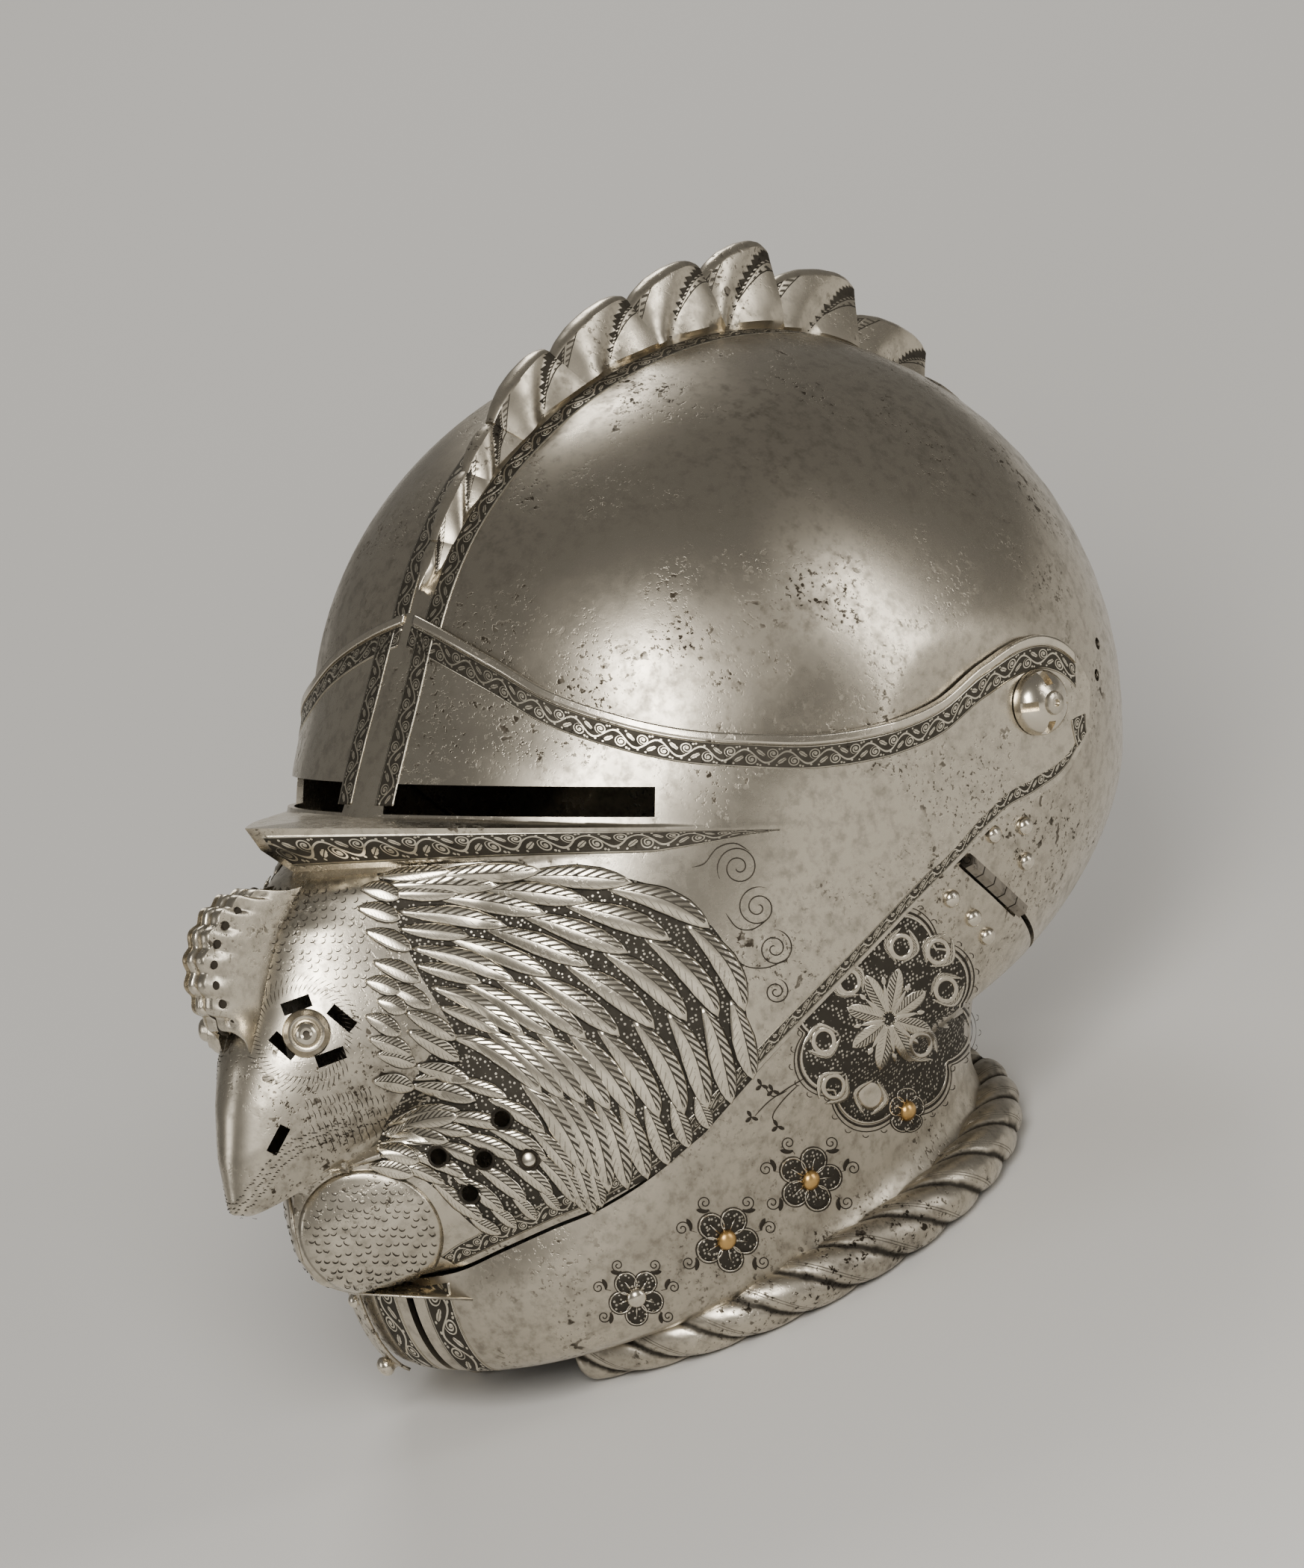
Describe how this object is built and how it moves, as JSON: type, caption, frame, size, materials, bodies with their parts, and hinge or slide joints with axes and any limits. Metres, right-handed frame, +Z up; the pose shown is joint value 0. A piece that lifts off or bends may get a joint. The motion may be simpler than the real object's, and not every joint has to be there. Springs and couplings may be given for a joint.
{
  "type": "closed helmet",
  "caption": "Closed steel helmet with a pivoting cockerel-mask visor, sight slits, hinged cheekpieces, a scalloped crest and a roped neck collar.",
  "frame": {"origin": "middle of the helmet's footprint, at the level of the collar's flat underside that it stands on", "axes": "+Z up, -Y towards the face, +X towards the wearer's left; the helmet rests tipped back on its collar"},
  "size_m": [0.2296, 0.3514, 0.261],
  "materials": {
    "skull steel": "warm grey polished steel with dark pitting",
    "visor steel": "embossed and etched steel",
    "cheek steel": "etched steel",
    "bright steel": "worn bright steel",
    "brass": "dull brass caps",
    "hinge iron": "dark filed iron"
  },
  "bodies": {
    "skull": {"skull": "skull steel", "skull_leaf_left": "hinge iron", "hinge_pin_left": "hinge iron", "pivot_left": "bright steel", "skull_rivet_left_1": "bright steel", "skull_rivet_left_2": "bright steel", "skull_rivet_left_3": "bright steel", "skull_leaf_right": "hinge iron", "hinge_pin_right": "hinge iron", "pivot_right": "bright steel", "skull_rivet_right_1": "bright steel", "skull_rivet_right_2": "bright steel", "skull_rivet_right_3": "bright steel"},
    "visor": {"visor": "visor steel"},
    "cheek_left": {"cheek_left": "cheek steel", "cheek_leaf_left": "hinge iron", "hinge_rivet_left_1": "bright steel", "hinge_rivet_left_2": "bright steel", "hinge_rivet_left_3": "bright steel", "lining_rivet_left_1": "brass", "lining_rivet_left_2": "brass", "lining_rivet_left_3": "brass", "lining_rivet_left_4": "bright steel"},
    "cheek_right": {"cheek_right": "cheek steel", "cheek_leaf_right": "hinge iron", "chin_catch": "bright steel", "hinge_rivet_right_1": "bright steel", "hinge_rivet_right_2": "bright steel", "hinge_rivet_right_3": "bright steel", "lining_rivet_right_1": "brass", "lining_rivet_right_2": "brass", "lining_rivet_right_3": "brass", "lining_rivet_right_4": "bright steel"}
  },
  "joints": [
    {"name": "visor_pivot", "type": "hinge", "parent": "skull", "child": "visor", "pos_m": [0, 0.07709, 0.12778], "axis": [-1, 0, 0], "range_deg": [0, 65]},
    {"name": "cheek_hinge_left", "type": "hinge", "parent": "skull", "child": "cheek_left", "pos_m": [0.10427, 0.03458, 0.09995], "axis": [0.2162, -0.5381, 0.8147], "range_deg": [0, 55]},
    {"name": "cheek_hinge_right", "type": "hinge", "parent": "skull", "child": "cheek_right", "pos_m": [-0.10427, 0.03458, 0.09995], "axis": [0.2162, 0.5381, -0.8147], "range_deg": [0, 55]}
  ]
}
